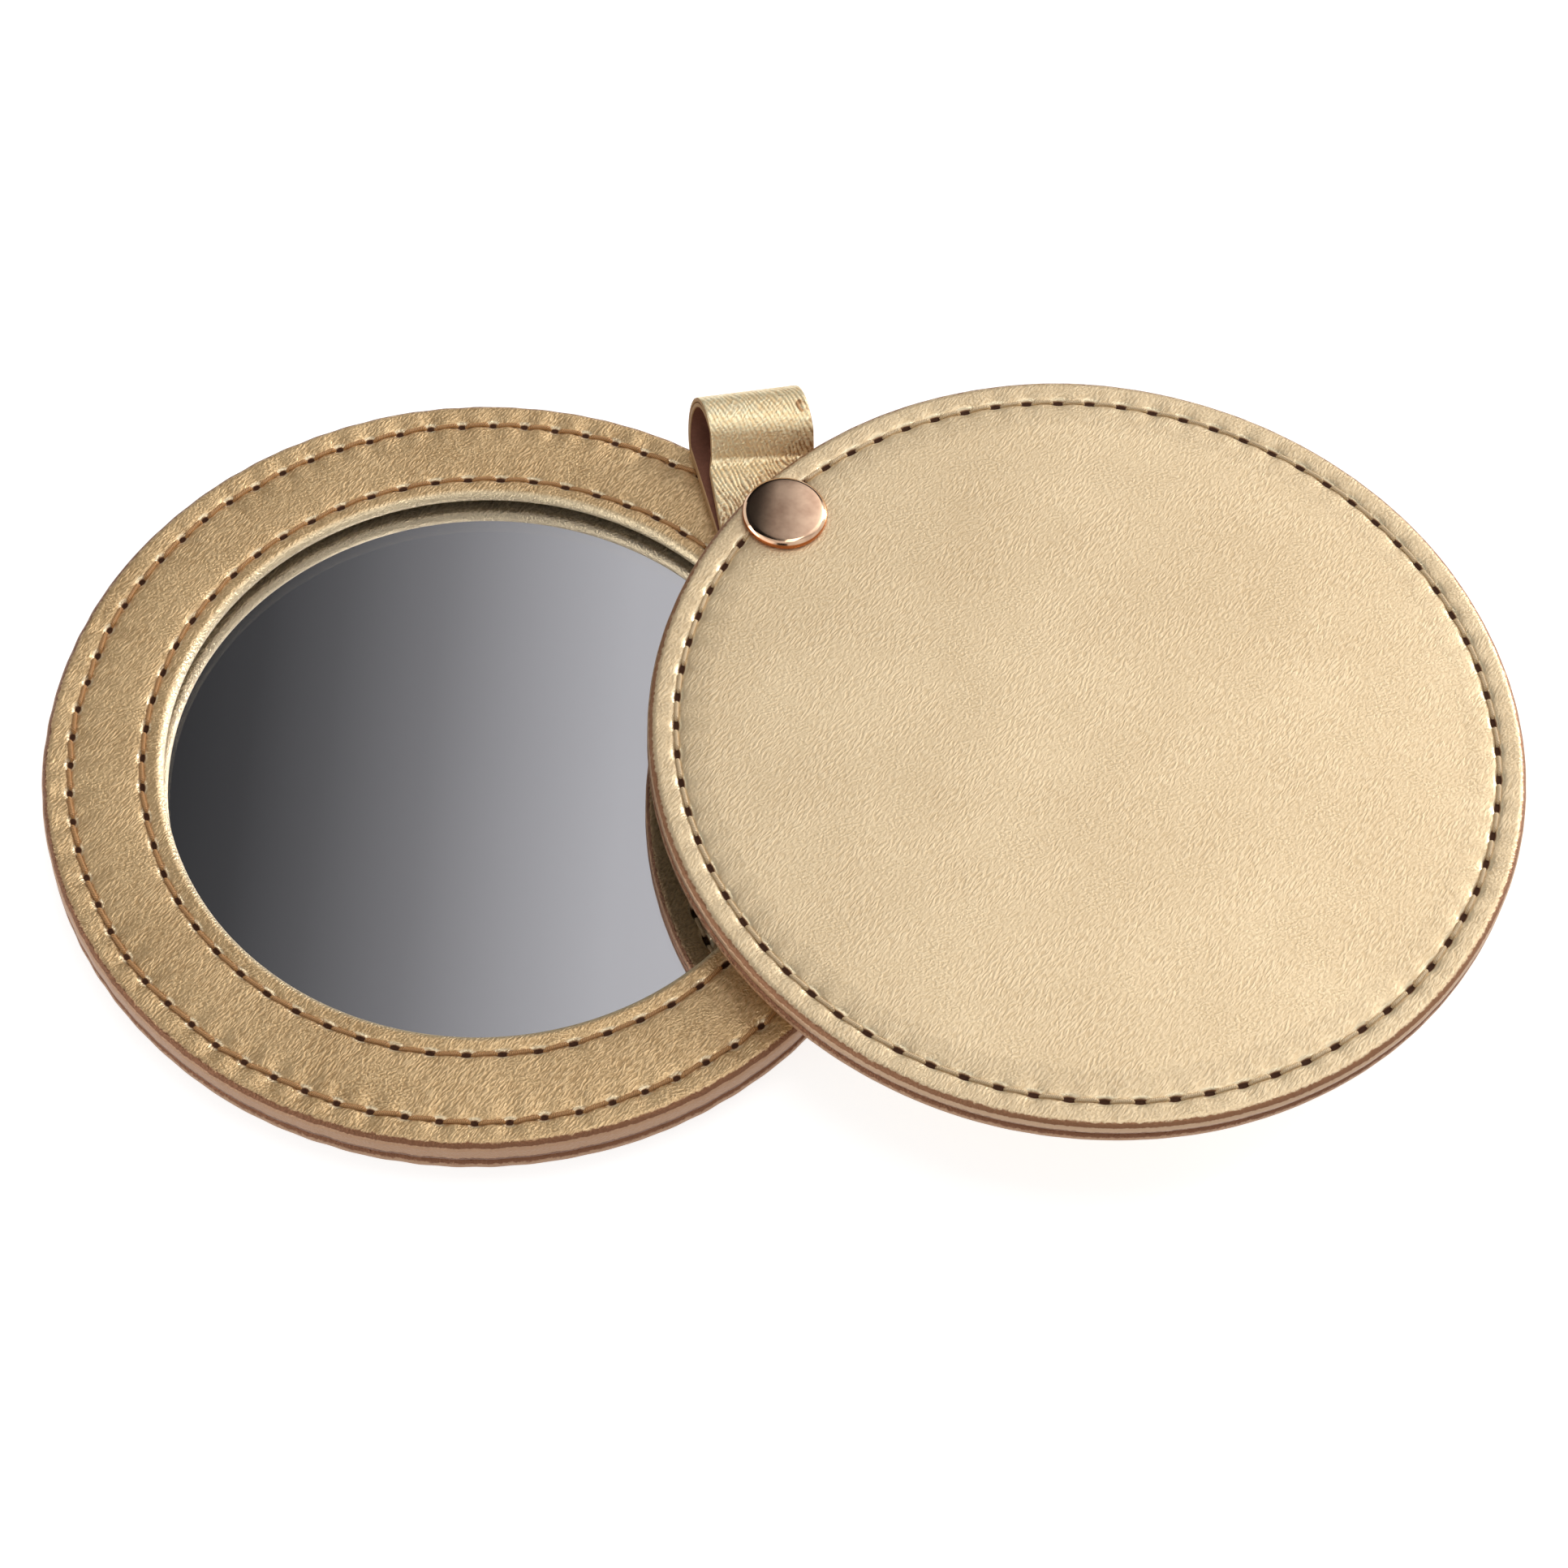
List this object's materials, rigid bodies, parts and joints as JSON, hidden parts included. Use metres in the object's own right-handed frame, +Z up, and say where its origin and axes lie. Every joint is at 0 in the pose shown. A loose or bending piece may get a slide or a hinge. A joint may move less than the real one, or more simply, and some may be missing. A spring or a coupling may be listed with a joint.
{
  "type": "folding pocket mirror",
  "caption": "Round pocket mirror in a stitched leatherette ring, with a round cover that swivels over it on a rivet and a short folded strap loop",
  "frame": {"origin": "centre of the flat underside of the base disc, on the surface it lies on", "axes": "+Z up out of the mirror's face; -Y towards the viewer; +X to the viewer's right, where the open cover lies"},
  "size_m": [0.1278, 0.0784, 0.0108],
  "materials": {
    "champagne_leatherette": "pearly champagne-gold leatherette with a fine crease grain",
    "bronze_leatherette": "darker bronze-gold leatherette with a fine crease grain",
    "thread": "tan sewing thread",
    "brown_backing": "dark red-brown backing, matte",
    "grey_card": "grey pressed card",
    "foam": "thin white foam sheet",
    "mirror": "flat silvered glass",
    "rose_metal": "polished rose-gold plated metal",
    "steel": "plated steel"
  },
  "bodies": {
    "base": {"back_panel": "bronze_leatherette", "back_board": "grey_card", "glass_pad": "foam", "mirror_glass": "mirror", "spacer_ring": "grey_card", "ring_board": "grey_card", "ring_panel": "bronze_leatherette", "rim_needle_thread": "thread", "rim_bobbin_thread": "thread", "window_needle_thread": "thread", "rivet_post": "steel", "rivet_socket": "steel", "rivet_cap": "rose_metal"},
    "cover": {"cover_panel": "champagne_leatherette", "cover_board": "grey_card", "cover_infill": "foam", "lining_board": "grey_card", "lining_panel": "bronze_leatherette", "cover_needle_thread": "thread", "cover_bobbin_thread": "thread"},
    "strap": {"strap_face": "champagne_leatherette", "strap_backing": "brown_backing"}
  },
  "joints": [
    {"name": "cover_swivel", "type": "hinge", "parent": "base", "child": "cover", "pos_m": [0.02487, 0.02319, 0], "axis": [0, 0, 1], "continuous": true},
    {"name": "strap_swivel", "type": "hinge", "parent": "cover", "child": "strap", "pos_m": [0.02487, 0.02319, 0], "axis": [0, 0, 1], "range_deg": [0, 80]}
  ]
}
